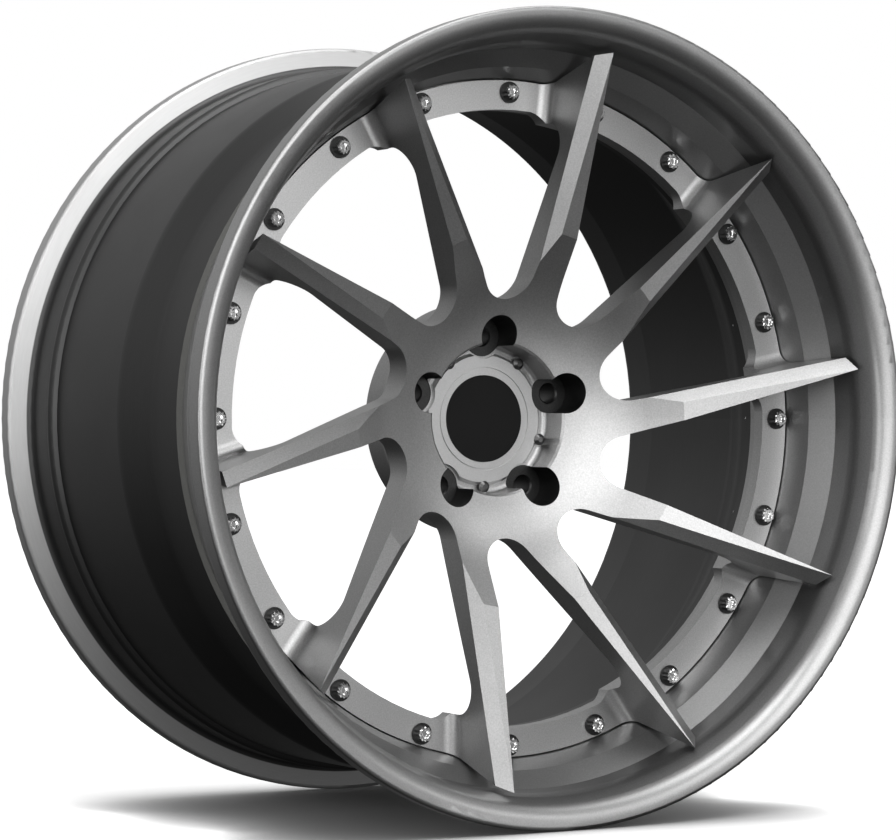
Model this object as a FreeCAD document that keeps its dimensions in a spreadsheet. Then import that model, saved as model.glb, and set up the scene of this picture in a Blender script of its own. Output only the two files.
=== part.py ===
"""Three-piece forged car wheel, 20 by 11 inch, five studs on a 114.3 mm circle.

The wheel stands upright and spins about Y. Its face looks along -Y and +Z is up. The origin is
the centre of the hub bore in the plane of the mounting pad. A place on the wheel is given by its
radius and its depth, which is the Y coordinate: more negative is nearer to the face.
"""
import FreeCAD, Part
import math
import os

import Sketcher

# Driving dimensions, in millimetres and degrees
SIZES = {
    # Rim
    "flange_radius": 273.7,
    "flange_height": 17.3,
    "lip_flange_depth": -131.0,
    "barrel_flange_depth": 170.9,
    "lip_flange_thickness": 19.0,
    "barrel_flange_thickness": 16.0,
    "flange_taper": 4.0,
    "flange_reach": 8.0,
    "flange_edge_round": 2.5,
    "flange_back_round": 3.5,
    "seat_width": 26.0,
    "seat_round": 5.0,
    "hump_height": 1.4,
    "hump_width": 8.0,
    "rim_wall": 6.0,
    "well_drop": 15.4,
    "well_width": 38.0,
    "well_slope": 26.0,
    "well_round": 15.0,
    "drum_drop": 4.0,
    "mouth_round": 10.0,
    "lip_nose_drop": 13.4,
    "lip_nose_round": 15.5,
    "lip_roll_drop": 5.8,
    "lip_roll_depth": -116.0,
    "lip_roll_round": 30.0,
    "lip_step_drop": 7.0,
    "lip_step_depth": -95.0,
    "lip_bevel_drop": 17.8,
    "lip_bevel_depth": -78.0,
    "lip_root_round": 14.0,
    "lip_heel_round": 10.0,
    "joint_step": 10.0,
    "joint_setback": 1.0,
    "joint_thickness": 6.0,
    "joint_corner_round": 4.0,
    "ring_clearance": 0.8,
    "seal_width": 4.0,
    "seal_height": 2.4,
    # Face disc
    "bore_radius": 35.3,
    "bore_relief": 1.5,
    "bore_relief_depth": 2.0,
    "pad_radius": 80.0,
    "pad_edge_round": 3.0,
    "boss_height": 30.0,
    "boss_round": 12.0,
    "hub_depth": -46.3,
    "dish_radius": 84.0,
    "dish_depth": -52.0,
    "dish_round": 125.0,
    "crease_radius": 129.0,
    "crease_depth": -82.5,
    "tip_drop": 6.2,
    "tip_depth": -124.5,
    "back_slope": 0.483,
    "arch_inset": 6.5,
    "arch_round": 16.0,
    "ring_width": 20.0,
    "ring_depth": -60.0,
    "ring_thickness": 10.0,
    "spoke_count": 10,
    "spoke_sweep": 14.3,
    "spoke_offset": 23.0,
    "spoke_root": 110.0,
    "spoke_root_half": 10.5,
    "spoke_end_inset": 2.2,
    "spoke_end_half": 4.5,
    "valley_round": 19.0,
    "corner_round": 14.0,
    "web_inset": 21.0,
    "web_round": 9.0,
    "bevel_start": 96.0,
    "bevel_ridge": 127.0,
    "bevel_ridge_shift": 2.4,
    "bevel_tilt": 44.4,
    "bevel_rise": 16.1,
    "bevel_reach": 14.0,
    "bevel_overrun": 36.0,
    # Wheel studs
    "stud_circle": 114.3,
    "stud_count": 5,
    "stud_angle": 18.0,
    "stud_hole_radius": 6.4,
    "stud_hole_chamfer": 1.0,
    "socket_radius": 14.0,
    "seat_depth": -22.5,
    # Assembly bolts
    "bolt_inset": 8.1,
    "bolt_count": 20,
    "bolt_shank_radius": 3.5,
    "bolt_hole_clearance": 0.3,
    "bolt_head_radius": 5.2,
    "bolt_head_height": 5.4,
    "bolt_head_edge": 1.0,
    "bolt_socket_radius": 2.6,
    "bolt_socket_depth": 3.0,
    "washer_radius": 7.4,
    "washer_thickness": 1.4,
    "nut_flats": 11.0,
    "nut_height": 6.5,
    "bolt_end": 2.0,
    # Centre cap
    "pocket_radius": 52.0,
    "pocket_depth": -23.0,
    "pocket_edge": 1.5,
    "pocket_floor_round": 3.5,
    "cap_radius": 46.0,
    "cap_thickness": 3.2,
    "cap_edge": 2.0,
    "cap_scallop_radius": 15.6,
    "cap_groove_radius": 34.5,
    "cap_groove_width": 1.2,
    "cap_groove_depth": 0.8,
    "cap_back_radius": 33.0,
    "cap_back_recess": 0.7,
    "badge_radius": 30.0,
    "badge_recess": 1.0,
    "badge_thickness": 1.3,
    "badge_clearance": 0.2,
    "o_ring_radius": 39.0,
    "o_ring_section": 1.0,
    "o_ring_clearance": 0.1,
    "screw_circle_radius": 47.0,
    "screw_head_radius": 4.0,
    "screw_head_height": 2.4,
    "screw_head_side": 0.7,
    "screw_top_radius": 1.8,
    "screw_shank_radius": 2.0,
    "screw_length": 12.0,
    "screw_clearance": 0.3,
    "screw_notch_radius": 5.4,
    # Tyre valve, radial, in the barrel behind the face
    "valve_angle": 69.0,
    "valve_depth": -18.0,
    "valve_bore_radius": 4.1,
    "valve_seat_relief": 0.2,
    "valve_thread_radius": 4.0,
    "valve_head_radius": 8.0,
    "valve_head_height": 3.0,
    "valve_length": 30.0,
    "valve_grommet_height": 2.5,
    "valve_washer_height": 1.2,
    "valve_nut_height": 5.0,
    "valve_nut_flats": 12.0,
    "valve_core_radius": 1.5,
    "valve_core_length": 16.0,
    "valve_cap_length": 10.0,
    "valve_cap_wall": 0.8,
}

FULL_TURN = 360
FAR = 400.0
Y_AXIS = FreeCAD.Vector(0, 1, 0)
MINUS_Y = FreeCAD.Vector(0, -1, 0)


class Size:
    """A number that carries its spreadsheet expression along."""

    def __init__(self, text, value):
        self.text = text
        self.value = value

    def joined(self, other, sign, value):
        """Return the size made of this one, a sign and another."""
        return Size("(%s %s %s)" % (self.text, sign, other.text), value)

    def __add__(self, other):
        other = as_size(other)
        return self.joined(other, "+", self.value + other.value)

    def __sub__(self, other):
        other = as_size(other)
        return self.joined(other, "-", self.value - other.value)

    def __mul__(self, other):
        other = as_size(other)
        return self.joined(other, "*", self.value * other.value)

    def __truediv__(self, other):
        other = as_size(other)
        return self.joined(other, "/", self.value / other.value)

    def __neg__(self):
        return as_size(0) - self


def as_size(number):
    """Return a plain number as a size; a size stays as it is."""
    if isinstance(number, Size):
        return number
    return Size("%.6g" % number, float(number))


def dim(name):
    """Return the size that the spreadsheet holds under this name."""
    return Size("Sizes." + name, float(SIZES[name]))


def sine(angle):
    """Return the sine of an angle in degrees."""
    return Size("sin(%s)" % angle.text, math.sin(math.radians(angle.value)))


def cosine(angle):
    """Return the cosine of an angle in degrees."""
    return Size("cos(%s)" % angle.text, math.cos(math.radians(angle.value)))


def tangent(angle):
    """Return the tangent of an angle in degrees."""
    return Size("tan(%s)" % angle.text, math.tan(math.radians(angle.value)))


def arc_tangent(ratio):
    """Return the angle in degrees with this tangent."""
    text = "(atan(%s) / 1 deg)" % ratio.text
    return Size(text, math.degrees(math.atan(ratio.value)))


doc = FreeCAD.newDocument("ForgedWheel")


def make_sheet():
    """Write the driving dimensions to a spreadsheet with one alias a row."""
    sheet = doc.addObject("Spreadsheet::Sheet", "Sizes")
    for row, (name, value) in enumerate(SIZES.items(), start=1):
        sheet.set("A%d" % row, name)
        sheet.set("B%d" % row, str(value))
        sheet.setAlias("B%d" % row, name)
    doc.recompute()


def bind(thing, prop, value):
    """Bind a property to a size."""
    thing.setExpression(prop, as_size(value).text)


def new_body(name, separate=False):
    """Make a body; separate lets it hold a group of solids."""
    body = doc.addObject("PartDesign::Body", name)
    body.AllowCompound = separate
    return body


def origin_part(body, role):
    """Return the body's own origin plane or axis with this role."""
    return [part for part in body.Origin.OriginFeatures if part.Role == role][0]


def new_sketch(body, name, role):
    """Make a sketch on one of the body's origin planes."""
    sketch = body.newObject("Sketcher::SketchObject", name)
    sketch.AttachmentSupport = [(origin_part(body, role), "")]
    sketch.MapMode = "FlatFace"
    return sketch


def section_sketch(body, name, angle=None):
    """Make a sketch of radius and depth, turned about the wheel's axis by an angle."""
    sketch = new_sketch(body, name, "XY_Plane")
    if angle is not None:
        turn = FreeCAD.Rotation(MINUS_Y, angle.value)
        sketch.AttachmentOffset = FreeCAD.Placement(FreeCAD.Vector(), turn)
        bind(sketch, "AttachmentOffset.Rotation.Angle", angle)
    return sketch


def plan_sketch(body, name, depth):
    """Make a sketch seen from the face, at a depth; its features grow toward the face."""
    sketch = new_sketch(body, name, "XZ_Plane")
    bind(sketch, "AttachmentOffset.Base.z", -as_size(depth))
    return sketch


def fix_point(sketch, index, position, x, y):
    """Hold one point of a sketch at sizes measured from the sketch's origin."""
    for kind, value in (("DistanceX", as_size(x)), ("DistanceY", as_size(y))):
        place = sketch.addConstraint(Sketcher.Constraint(kind, -1, 1, index, position, value.value))
        sketch.setExpression("Constraints[%d]" % place, value.text)


def round_corner(before, corner, after, radius):
    """Return where a rounding starts and ends at a corner, and its centre."""
    to_before = (before - corner).normalize()
    to_after = (after - corner).normalize()
    half = to_before.getAngle(to_after) / 2
    start = corner + to_before * (radius / math.tan(half))
    end = corner + to_after * (radius / math.tan(half))
    middle = (to_before + to_after).normalize()
    return start, end, corner + middle * (radius / math.sin(half))


def add_arc(sketch, start, end, centre, radius):
    """Add the short arc from start to end; tell whether it starts at its own first point."""
    up = FreeCAD.Vector(0, 0, 1)
    first = math.atan2(start.y - centre.y, start.x - centre.x)
    last = math.atan2(end.y - centre.y, end.x - centre.x)
    forward = (start - centre).cross(end - centre).z > 0
    if not forward:
        first, last = last, first
    circle = Part.Circle(centre, up, radius)
    return sketch.addGeometry(Part.ArcOfCircle(circle, first, last)), forward


def outline(sketch, corners):
    """Draw a closed outline of (x, y) or (x, y, rounding radius) corners, bound to the sheet."""
    count = len(corners)
    points = [FreeCAD.Vector(as_size(c[0]).value, as_size(c[1]).value, 0) for c in corners]
    rounds = []
    for i, corner in enumerate(corners):
        if len(corner) == 3:
            radius = as_size(corner[2]).value
            rounds.append(round_corner(points[i - 1], points[i], points[(i + 1) % count], radius))
        else:
            rounds.append((points[i], points[i], None))
    for i in range(count):
        sketch.addGeometry(Part.LineSegment(rounds[i][1], rounds[(i + 1) % count][0]))
    for i, corner in enumerate(corners):
        before, after = (i - 1) % count, i
        if len(corner) == 2:
            sketch.addConstraint(Sketcher.Constraint("Coincident", before, 2, after, 1))
            fix_point(sketch, after, 1, corner[0], corner[1])
            continue
        start, end, centre = rounds[i]
        radius = as_size(corner[2])
        arc, forward = add_arc(sketch, start, end, centre, radius.value)
        first, last = (1, 2) if forward else (2, 1)
        sketch.addConstraint(Sketcher.Constraint("Tangent", before, 2, arc, first))
        sketch.addConstraint(Sketcher.Constraint("Tangent", arc, last, after, 1))
        place = sketch.addConstraint(Sketcher.Constraint("Radius", arc, radius.value))
        sketch.setExpression("Constraints[%d]" % place, radius.text)
        tip = sketch.addGeometry(Part.Point(points[i]), True)
        sketch.addConstraint(Sketcher.Constraint("PointOnObject", tip, 1, before))
        sketch.addConstraint(Sketcher.Constraint("PointOnObject", tip, 1, after))
        fix_point(sketch, tip, 1, corner[0], corner[1])


def circle(sketch, x, y, radius):
    """Draw a circle bound to the sheet."""
    radius = as_size(radius)
    centre = FreeCAD.Vector(as_size(x).value, as_size(y).value, 0)
    index = sketch.addGeometry(Part.Circle(centre, FreeCAD.Vector(0, 0, 1), radius.value))
    fix_point(sketch, index, 3, x, y)
    place = sketch.addConstraint(Sketcher.Constraint("Radius", index, radius.value))
    sketch.setExpression("Constraints[%d]" % place, radius.text)


def hexagon(sketch, x, y, flats):
    """Draw a hexagon of a given width across flats around a point."""
    reach = as_size(flats) / math.sqrt(3)
    corners = []
    for step in range(6):
        angle = as_size(60 * step)
        corners.append((as_size(x) + reach * cosine(angle), as_size(y) + reach * sine(angle)))
    outline(sketch, corners)


def feature(body, kind, sketch, name):
    """Make a sketch-based feature of a kind and set it as the body's tip."""
    made = body.newObject("PartDesign::" + kind, name)
    made.Profile = sketch
    body.Tip = made
    sketch.Visibility = False
    return made


def turned(body, kind, sketch, name, axis="V_Axis"):
    """Turn a sketch a full turn about one of its axes."""
    made = feature(body, kind, sketch, name)
    made.ReferenceAxis = (sketch, [axis])
    made.Angle = FULL_TURN
    return made


def padded(body, sketch, name, length):
    """Pad a sketch along its normal."""
    made = feature(body, "Pad", sketch, name)
    bind(made, "Length", length)
    return made


def drilled(body, sketch, name):
    """Cut a sketch right through the body, both ways."""
    made = feature(body, "Pocket", sketch, name)
    made.Type = "ThroughAll"
    made.SideType = "Symmetric"
    return made


def ring_of(body, originals, name, count):
    """Repeat features around the wheel's axis."""
    made = body.newObject("PartDesign::PolarPattern", name)
    made.Originals = originals
    made.Axis = (origin_part(body, "Y_Axis"), [""])
    made.Angle = FULL_TURN
    bind(made, "Occurrences", count)
    body.Tip = made
    return made


def turned_body(name, corners):
    """Make a body by turning one outline of radius and depth about the wheel's axis."""
    body = new_body(name)
    sketch = section_sketch(body, name + "_section")
    outline(sketch, corners)
    turned(body, "Revolution", sketch, name + "_turned")
    return body


def drill_bolt_ring(body, name):
    """Drill the ring of assembly bolt holes through a body."""
    sketch = plan_sketch(body, name + "_hole", 0)
    circle(sketch, bolt_circle(), 0, dim("bolt_shank_radius") + dim("bolt_hole_clearance"))
    hole = drilled(body, sketch, name + "_drilled")
    doc.recompute()
    ring_of(body, [hole], name + "_holes", dim("bolt_count"))


def off_axis_ring(name, corners, angle, radius, count):
    """Make a ring of solids, each turned about its own axis parallel to the wheel's.

    The corners hold the distance from the solid's own axis and the depth.
    """
    body = new_body(name, separate=True)
    sketch = section_sketch(body, name + "_section", angle)
    outline(sketch, [(radius + corner[0],) + tuple(corner[1:]) for corner in corners])
    axis = Part.LineSegment(FreeCAD.Vector(radius.value, -FAR, 0), FreeCAD.Vector(radius.value, FAR, 0))
    index = sketch.addGeometry(axis, True)
    fix_point(sketch, index, 1, radius, -FAR)
    fix_point(sketch, index, 2, radius, FAR)
    solid = turned(body, "Revolution", sketch, name + "_turned", "Axis0")
    doc.recompute()
    ring_of(body, [solid], name + "_ring", count)
    return body


def cut(name, base, tool):
    """Cut a tool out of a base."""
    made = doc.addObject("Part::Cut", name)
    made.Base = base
    made.Tool = tool
    return made


# Places that several pieces share
def bead_radius():
    """Radius of the tyre's bead seats."""
    return dim("flange_radius") - dim("flange_height")


def well_radius():
    """Outer radius of the drop well, beside the joint."""
    return bead_radius() - dim("well_drop")


def drum_radius():
    """Outer radius of the barrel between the well and the inner bead seat."""
    return bead_radius() - dim("drum_drop")


def ring_outer():
    """Outer radius of the disc's bolted ring."""
    return well_radius() - dim("joint_step")


def ring_inner():
    """Inner radius of the disc's bolted ring."""
    return ring_outer() - dim("ring_width")


def joint_inner():
    """Inner radius of the two rim flanges behind the disc's ring."""
    return ring_inner() + dim("joint_setback")


def bolt_circle():
    """Radius of the ring of assembly bolts."""
    return ring_outer() - dim("bolt_inset")


def tip_radius():
    """Radius that the spoke tips reach over the lip."""
    return bead_radius() - dim("tip_drop")


def spoke_end():
    """Distance along a spoke's centre line to the end of its taper."""
    return tip_radius() - dim("spoke_end_inset")


def ring_back():
    """Depth of the joint plane behind the disc's ring."""
    return dim("ring_depth") + dim("ring_thickness")


def lip_back():
    """Depth of the joint plane between lip and barrel."""
    return ring_back() + dim("joint_thickness")


def joint_back():
    """Depth of the back of the three-layer joint."""
    return lip_back() + dim("joint_thickness")


def back_line(radius):
    """Depth of the spokes' back at a radius."""
    return -dim("boss_height") - (radius - dim("pad_radius")) * dim("back_slope")


def spoke_taper():
    """Angle that each side of a spoke makes with its centre line."""
    narrowing = dim("spoke_root_half") - dim("spoke_end_half")
    return arc_tangent(narrowing / (spoke_end() - dim("spoke_root")))


def spoke_pitch():
    """Angle from one spoke to the next."""
    return as_size(FULL_TURN) / dim("spoke_count")


# Rim halves
def make_outer_lip():
    """Turn the outer rim half: joint flange, steps, rolled edge, J flange and bead seat."""
    flange = dim("flange_radius")
    bead = bead_radius()
    front = dim("lip_flange_depth") - dim("flange_reach")
    seat_front = front + dim("lip_flange_thickness")
    seat_back = seat_front + dim("seat_width")
    hump = bead + dim("hump_height")
    hump_back = seat_back + dim("hump_width")
    root = ring_outer() + dim("ring_clearance")
    body = turned_body("outer_lip", [
        (joint_inner(), lip_back()),
        (joint_inner(), ring_back()),
        (root, ring_back()),
        (root, dim("ring_depth"), dim("lip_root_round")),
        (bead - dim("lip_bevel_drop"), dim("lip_bevel_depth")),
        (bead - dim("lip_step_drop"), dim("lip_step_depth")),
        (bead - dim("lip_roll_drop"), dim("lip_roll_depth"), dim("lip_roll_round")),
        (flange - dim("lip_nose_drop"), front, dim("lip_nose_round")),
        (flange, front, dim("flange_edge_round")),
        (flange, seat_front - dim("flange_taper"), dim("flange_back_round")),
        (bead, seat_front, dim("seat_round")),
        (bead, seat_back),
        (hump, (seat_back + hump_back) / 2, dim("seat_round")),
        (bead, hump_back),
        (well_radius(), ring_back(), dim("lip_heel_round")),
        (well_radius(), lip_back()),
    ])
    drill_bolt_ring(body, "lip_bolt")
    return body


def make_inner_barrel():
    """Turn the inner rim half: joint flange, drop well, drum, hump, bead seat and J flange."""
    flange = dim("flange_radius")
    bead = bead_radius()
    drum = drum_radius()
    well = well_radius()
    wall = dim("rim_wall")
    back = dim("barrel_flange_depth") + dim("flange_reach")
    seat_back = back - dim("barrel_flange_thickness")
    seat_front = seat_back - dim("seat_width")
    hump = bead + dim("hump_height")
    hump_front = seat_front - dim("hump_width")
    well_end = joint_back() + dim("well_width")
    drum_start = well_end + dim("well_slope")
    body = turned_body("inner_barrel", [
        (joint_inner(), joint_back()),
        (joint_inner(), lip_back()),
        (well, lip_back()),
        (well, well_end, dim("well_round")),
        (drum, drum_start, dim("well_round")),
        (drum, hump_front),
        (hump, (seat_front + hump_front) / 2, dim("seat_round")),
        (bead, seat_front),
        (bead, seat_back, dim("seat_round")),
        (flange, seat_back + dim("flange_taper"), dim("flange_back_round")),
        (flange, back, dim("flange_edge_round")),
        (bead - wall, back, dim("mouth_round")),
        (drum - wall, seat_front, dim("well_round")),
        (drum - wall, drum_start + wall / 2, dim("well_round")),
        (well - wall, well_end + wall / 2, dim("well_round")),
        (well - wall, joint_back(), dim("joint_corner_round")),
    ])
    drill_bolt_ring(body, "barrel_bolt")
    valve_hole = new_sketch(body, "valve_hole", "XY_Plane")
    angle = as_size(FULL_TURN / 4) - dim("valve_angle") + FULL_TURN
    turn = FreeCAD.Rotation(Y_AXIS, angle.value)
    valve_hole.AttachmentOffset = FreeCAD.Placement(FreeCAD.Vector(), turn)
    bind(valve_hole, "AttachmentOffset.Rotation.Angle", angle)
    circle(valve_hole, 0, dim("valve_depth"), dim("valve_bore_radius"))
    hole = feature(body, "Pocket", valve_hole, "valve_drilled")
    hole.Reversed = True
    bind(hole, "Length", FAR)
    return body


def make_rim_seal():
    """Turn the sealant bead that closes the joint on the tyre side."""
    foot = well_radius()
    half = dim("seal_width")
    return turned_body("rim_seal", [
        (foot, lip_back() - half),
        (foot, lip_back() + half),
        (foot + dim("seal_height"), lip_back()),
    ])


# Face disc
def make_face_blank():
    """Turn the forged blank that the spokes are milled from."""
    arch = ring_inner() - dim("arch_inset")
    relief_end = dim("pocket_depth") + dim("bore_relief_depth")
    return turned_body("face_blank", [
        (dim("bore_radius"), 0),
        (dim("pad_radius"), 0, dim("pad_edge_round")),
        (dim("pad_radius"), -dim("boss_height"), dim("boss_round")),
        (arch, back_line(arch), dim("arch_round")),
        (arch, ring_back()),
        (ring_outer(), ring_back()),
        (ring_outer(), dim("ring_depth")),
        (tip_radius(), dim("tip_depth")),
        (dim("crease_radius"), dim("crease_depth")),
        (dim("dish_radius"), dim("dish_depth"), dim("dish_round")),
        (dim("pocket_radius") + dim("pocket_edge"), dim("hub_depth")),
        (dim("pocket_radius"), dim("hub_depth") + dim("pocket_edge")),
        (dim("pocket_radius"), dim("pocket_depth"), dim("pocket_floor_round")),
        (dim("bore_radius") + dim("bore_relief"), dim("pocket_depth")),
        (dim("bore_radius") + dim("bore_relief"), relief_end),
        (dim("bore_radius"), relief_end),
    ])


def window_corners(valley):
    """Return the outline between two spokes: the rounded valley and two far corners."""
    taper = spoke_taper()
    sweep = dim("spoke_sweep")
    root = dim("spoke_root")
    half = dim("spoke_root_half")
    offset = dim("spoke_offset")
    right_angle = sweep - taper
    left_angle = spoke_pitch() + sweep + taper
    right_shift = root * sine(taper) + (half - offset) * cosine(taper)
    left_shift = -(root * sine(taper)) - (half + offset) * cosine(taper)
    spread = sine(left_angle - right_angle)
    apex_x = (right_shift * cosine(left_angle) - left_shift * cosine(right_angle)) / spread
    apex_y = (right_shift * sine(left_angle) - left_shift * sine(right_angle)) / spread
    far = as_size(FAR)
    return [
        (apex_x, apex_y) + valley,
        (apex_x + far * cosine(right_angle), apex_y + far * sine(right_angle)),
        (apex_x + far * cosine(left_angle), apex_y + far * sine(left_angle)),
    ]


def radius_cut(body, name, inner, outer):
    """Cut away what lies between two radii, over all depths."""
    sketch = section_sketch(body, name)
    outline(sketch, [(inner, -FAR), (outer, -FAR), (outer, FAR), (inner, FAR)])
    return turned(body, "Groove", sketch, name + "_groove")


def make_window_cutters():
    """Make the ten cutters for the through windows, with rounded outer corners."""
    body = new_body("window_cutters", separate=True)
    sketch = plan_sketch(body, "window_outline", FAR / 2)
    outline(sketch, window_corners((dim("valley_round"),)))
    padded(body, sketch, "window_pad", FAR)
    doc.recompute()
    groove = radius_cut(body, "window_outer", ring_inner(), 3 * FAR)
    doc.recompute()
    limit = ring_inner().value
    names = []
    for number, edge in enumerate(groove.Shape.Edges, start=1):
        start, end = edge.Vertexes[0].Point, edge.Vertexes[-1].Point
        along_axis = abs(abs(start.y - end.y) - FAR) < 1
        if along_axis and abs(math.hypot(start.x, start.z) - limit) < 1:
            names.append("Edge%d" % number)
    fillet = body.newObject("PartDesign::Fillet", "window_corner_fillet")
    fillet.Base = (groove, names)
    bind(fillet, "Radius", dim("corner_round"))
    body.Tip = fillet
    doc.recompute()
    pattern = ring_of(body, [], "window_ring", dim("spoke_count"))
    pattern.TransformMode = "Whole shape"
    return body


def make_front_cutters():
    """Make the ten cutters that clear the ring's face between the spoke tips."""
    body = new_body("front_cutters", separate=True)
    sketch = plan_sketch(body, "front_outline", dim("ring_depth"))
    outline(sketch, window_corners(()))
    padded(body, sketch, "front_pad", FAR)
    doc.recompute()
    groove = radius_cut(body, "front_inner", as_size(0), ring_inner() - dim("web_inset"))
    doc.recompute()
    floor = SIZES["ring_depth"]
    names = []
    for number, edge in enumerate(groove.Shape.Edges, start=1):
        start, end = edge.Vertexes[0].Point, edge.Vertexes[-1].Point
        on_floor = abs(start.y - floor) < 0.01 and abs(end.y - floor) < 0.01
        straight = edge.Curve.TypeId == "Part::GeomLine"
        reaches_far = max(start.Length, end.Length) > SIZES["flange_radius"]
        starts_near = min(start.Length, end.Length) < SIZES["flange_radius"]
        if on_floor and straight and reaches_far and starts_near:
            names.append("Edge%d" % number)
    fillet = body.newObject("PartDesign::Fillet", "front_web_fillet")
    fillet.Base = (groove, names)
    bind(fillet, "Radius", dim("web_round"))
    body.Tip = fillet
    doc.recompute()
    pattern = ring_of(body, [], "front_ring", dim("spoke_count"))
    pattern.TransformMode = "Whole shape"
    return body


def make_bevel_cutters(name, base_angle, side):
    """Make the cutters for the flat bevel on every second spoke.

    A section across the spoke slides along the bevel's rise. Side is 1 for a bevel on the spoke's
    left as seen from the face, with the spoke pointing up, and -1 for one on its right.
    """
    body = new_body(name, separate=True)
    sketch = new_sketch(body, name + "_section", "XY_Plane")
    heading = base_angle + dim("spoke_sweep")
    start = dim("bevel_start")
    offset = dim("spoke_offset")
    turn = FreeCAD.Rotation(Y_AXIS, (as_size(90) - heading).value)
    sketch.AttachmentOffset = FreeCAD.Placement(FreeCAD.Vector(), turn)
    bind(sketch, "AttachmentOffset.Base.x", start * cosine(heading) + offset * sine(heading))
    bind(sketch, "AttachmentOffset.Base.z", start * sine(heading) - offset * cosine(heading))
    bind(sketch, "AttachmentOffset.Rotation.Angle", as_size(90) - heading)
    rise = tangent(dim("bevel_rise"))
    length = tip_radius() - start + dim("bevel_overrun")
    slope = tangent(dim("bevel_tilt"))
    ridge_depth = dim("crease_depth") + (dim("bevel_ridge") - start) * rise
    reach = dim("bevel_reach")
    inner = ridge_depth - (reach + dim("bevel_ridge_shift")) * slope
    outer = ridge_depth + (reach - dim("bevel_ridge_shift")) * slope
    corners = [
        (reach * side, inner),
        (-reach * side, outer),
        (-reach * side, -FAR),
        (reach * side, -FAR),
    ]
    outline(sketch, corners)
    pad = padded(body, sketch, name + "_pad", length)
    pad.UseCustomVector = True
    pad.AlongSketchNormal = True
    flat = cosine(dim("bevel_rise"))
    bind(pad, "Direction.x", cosine(heading) * flat)
    bind(pad, "Direction.y", -sine(dim("bevel_rise")))
    bind(pad, "Direction.z", sine(heading) * flat)
    doc.recompute()
    ring_of(body, [pad], name + "_ring", dim("spoke_count") / 2)
    return body


def make_face_disc():
    """Mill the forged blank: windows, ring face, bevels, lug sockets, screw notches, bolt holes."""
    blank = make_face_blank()
    drill_bolt_ring(blank, "disc_bolt")
    stud_hole = dim("stud_hole_radius")
    chamfer = dim("stud_hole_chamfer")
    sockets = off_axis_ring("lug_sockets", [
        (0, -FAR),
        (dim("socket_radius"), -FAR),
        (dim("socket_radius"), dim("seat_depth")),
        (stud_hole + chamfer, dim("seat_depth")),
        (stud_hole, dim("seat_depth") + chamfer),
        (stud_hole, FAR),
        (0, FAR),
    ], dim("stud_angle"), dim("stud_circle") / 2, dim("stud_count"))
    shank = dim("screw_shank_radius")
    hole_end = dim("pocket_depth") + dim("screw_length")
    notches = off_axis_ring("screw_notches", [
        (0, -FAR),
        (dim("screw_notch_radius"), -FAR),
        (dim("screw_notch_radius"), dim("pocket_depth")),
        (shank, dim("pocket_depth")),
        (shank, hole_end),
        (0, hole_end),
    ], screw_angle(), dim("screw_circle_radius"), dim("stud_count"))
    disc = blank
    tools = [
        make_window_cutters(),
        make_front_cutters(),
        make_bevel_cutters("left_bevels", as_size(0), 1),
        make_bevel_cutters("right_bevels", spoke_pitch(), -1),
        sockets,
        notches,
    ]
    for number, tool in enumerate(tools, start=1):
        disc = cut("face_cut_%d" % number, disc, tool)
    disc.Label = "face_disc"
    return disc


def screw_angle():
    """Angle of the first cap screw, midway between two studs."""
    return dim("stud_angle") + as_size(FULL_TURN) / dim("stud_count") / 2


# Assembly bolts
def make_assembly_bolts():
    """Make the ring of bolts, with round heads and a driver recess."""
    seat = dim("ring_depth") - dim("washer_thickness")
    top = seat - dim("bolt_head_height")
    head = dim("bolt_head_radius")
    edge = dim("bolt_head_edge")
    end = joint_back() + dim("washer_thickness") + dim("nut_height") + dim("bolt_end")
    return off_axis_ring("assembly_bolts", [
        (0, top + dim("bolt_socket_depth")),
        (dim("bolt_socket_radius"), top + dim("bolt_socket_depth")),
        (dim("bolt_socket_radius"), top),
        (head - edge, top),
        (head, top + edge),
        (head, seat),
        (dim("bolt_shank_radius"), seat),
        (dim("bolt_shank_radius"), end),
        (0, end),
    ], None, bolt_circle(), dim("bolt_count"))


def make_washers(name, front):
    """Make a ring of washers whose front lies at a depth."""
    inner = dim("bolt_shank_radius") + dim("bolt_hole_clearance")
    back = front + dim("washer_thickness")
    return off_axis_ring(name, [
        (inner, front),
        (dim("washer_radius"), front),
        (dim("washer_radius"), back),
        (inner, back),
    ], None, bolt_circle(), dim("bolt_count"))


def make_assembly_nuts():
    """Make the ring of hexagon nuts behind the joint."""
    body = new_body("assembly_nuts", separate=True)
    front = joint_back() + dim("washer_thickness")
    sketch = plan_sketch(body, "nut_outline", front + dim("nut_height"))
    hexagon(sketch, bolt_circle(), 0, dim("nut_flats"))
    circle(sketch, bolt_circle(), 0, dim("bolt_shank_radius"))
    nut = padded(body, sketch, "nut_pad", dim("nut_height"))
    doc.recompute()
    ring_of(body, [nut], "nut_ring", dim("bolt_count"))
    return body


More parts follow.
